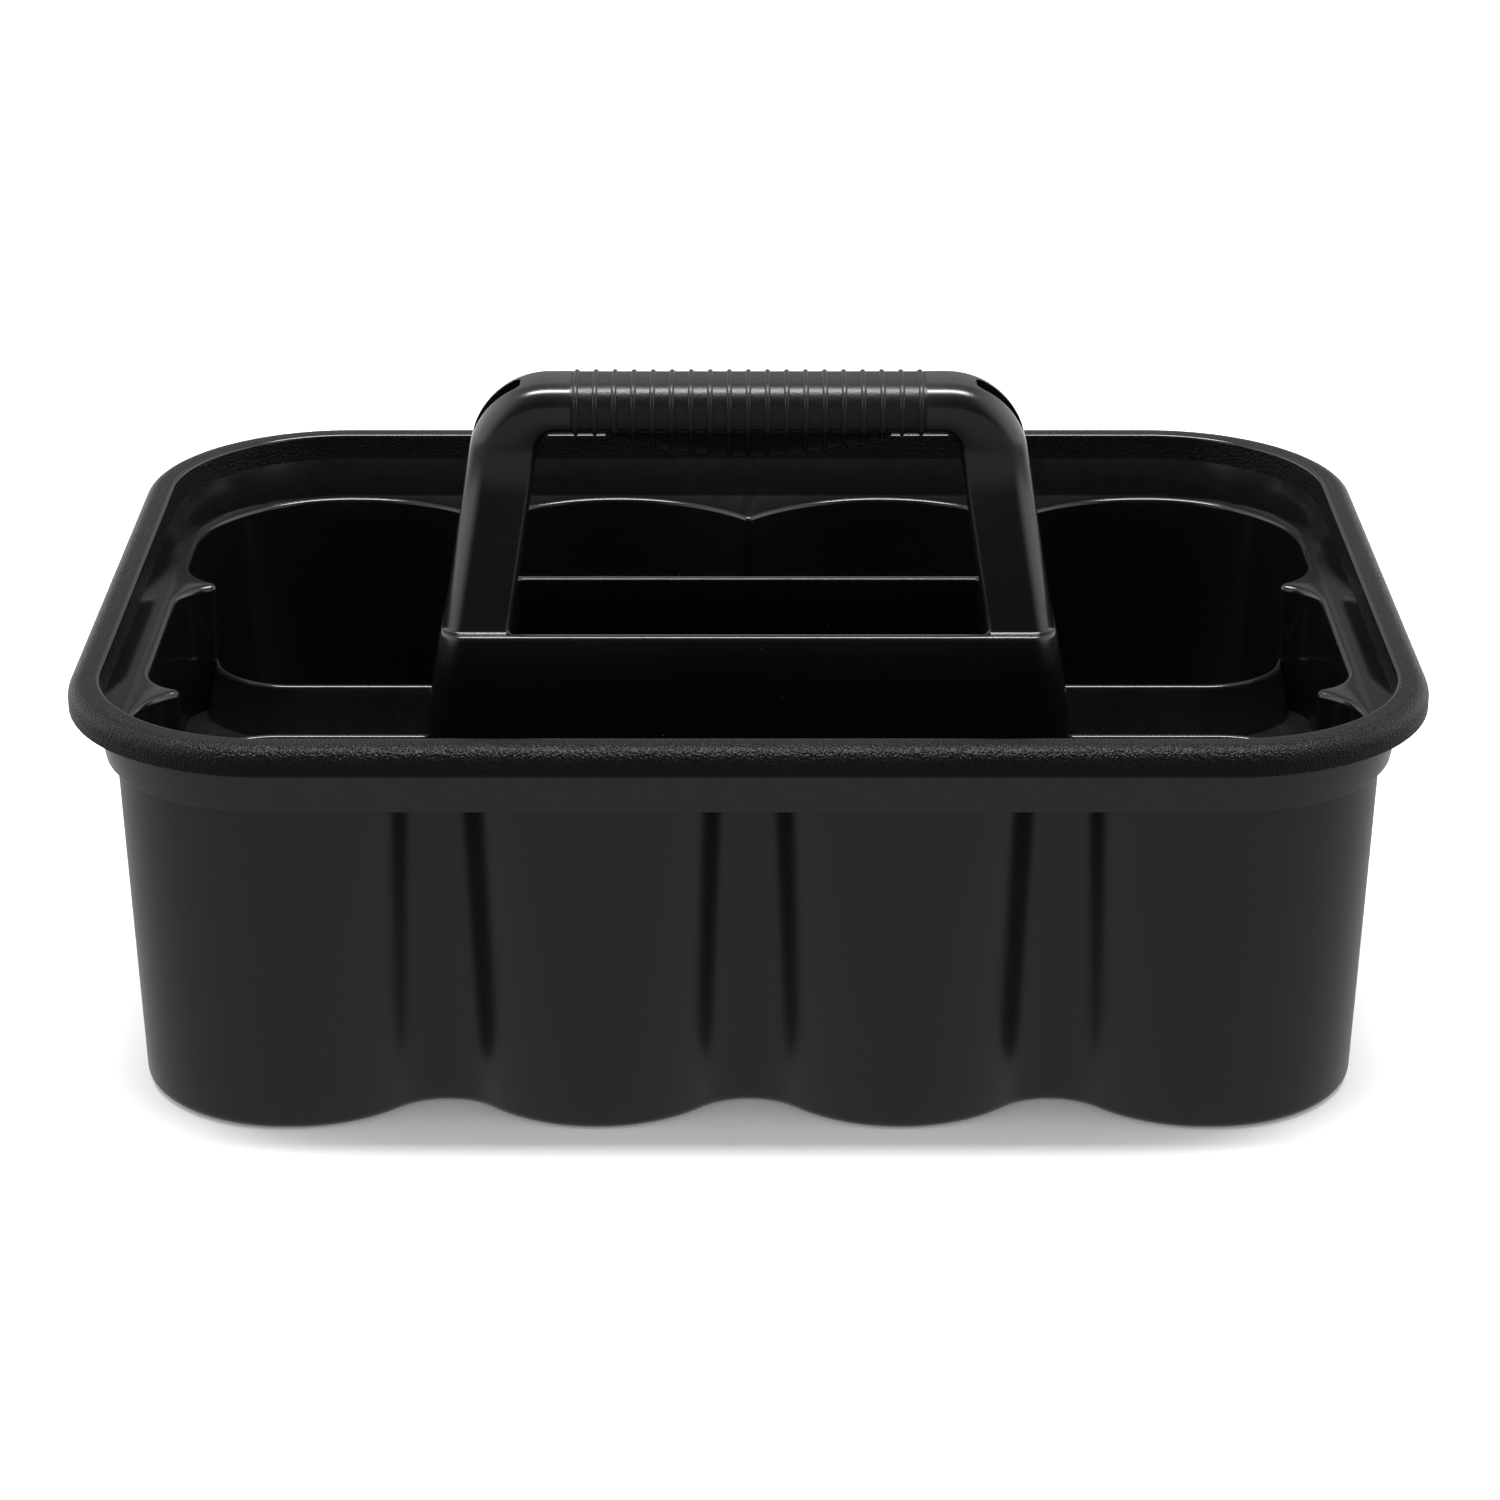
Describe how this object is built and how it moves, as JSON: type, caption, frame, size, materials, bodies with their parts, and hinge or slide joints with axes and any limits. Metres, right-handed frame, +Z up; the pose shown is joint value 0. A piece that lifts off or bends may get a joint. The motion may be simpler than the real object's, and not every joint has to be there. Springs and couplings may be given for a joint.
{
  "type": "cleaning caddy",
  "caption": "Rectangular black plastic cleaning caddy with scalloped bottle bays, a centre bin, raised end pockets and a fixed bail handle with a ribbed grip.",
  "frame": {"origin": "middle of the base, on the surface it stands on", "axes": "+X along the caddy's length to the right, +Y from the front to the back, +Z up"},
  "size_m": [0.381, 0.28, 0.1825],
  "materials": {
    "tub_plastic": "satin moulded polymer, smooth",
    "rim_plastic": "fine pebble grain",
    "bin_plastic": "smooth, soft gloss",
    "handle_plastic": "smooth, satin",
    "grip_plastic": "satin, ribbed"
  },
  "bodies": {
    "root": {"tub": "tub_plastic", "floor_pan": "tub_plastic", "collar": "tub_plastic", "rim": "rim_plastic", "centre_bin": "bin_plastic", "end_pocket_left": "tub_plastic", "end_pocket_right": "tub_plastic", "handle_bail": "handle_plastic", "grip_sleeve": "grip_plastic"}
  },
  "joints": []
}
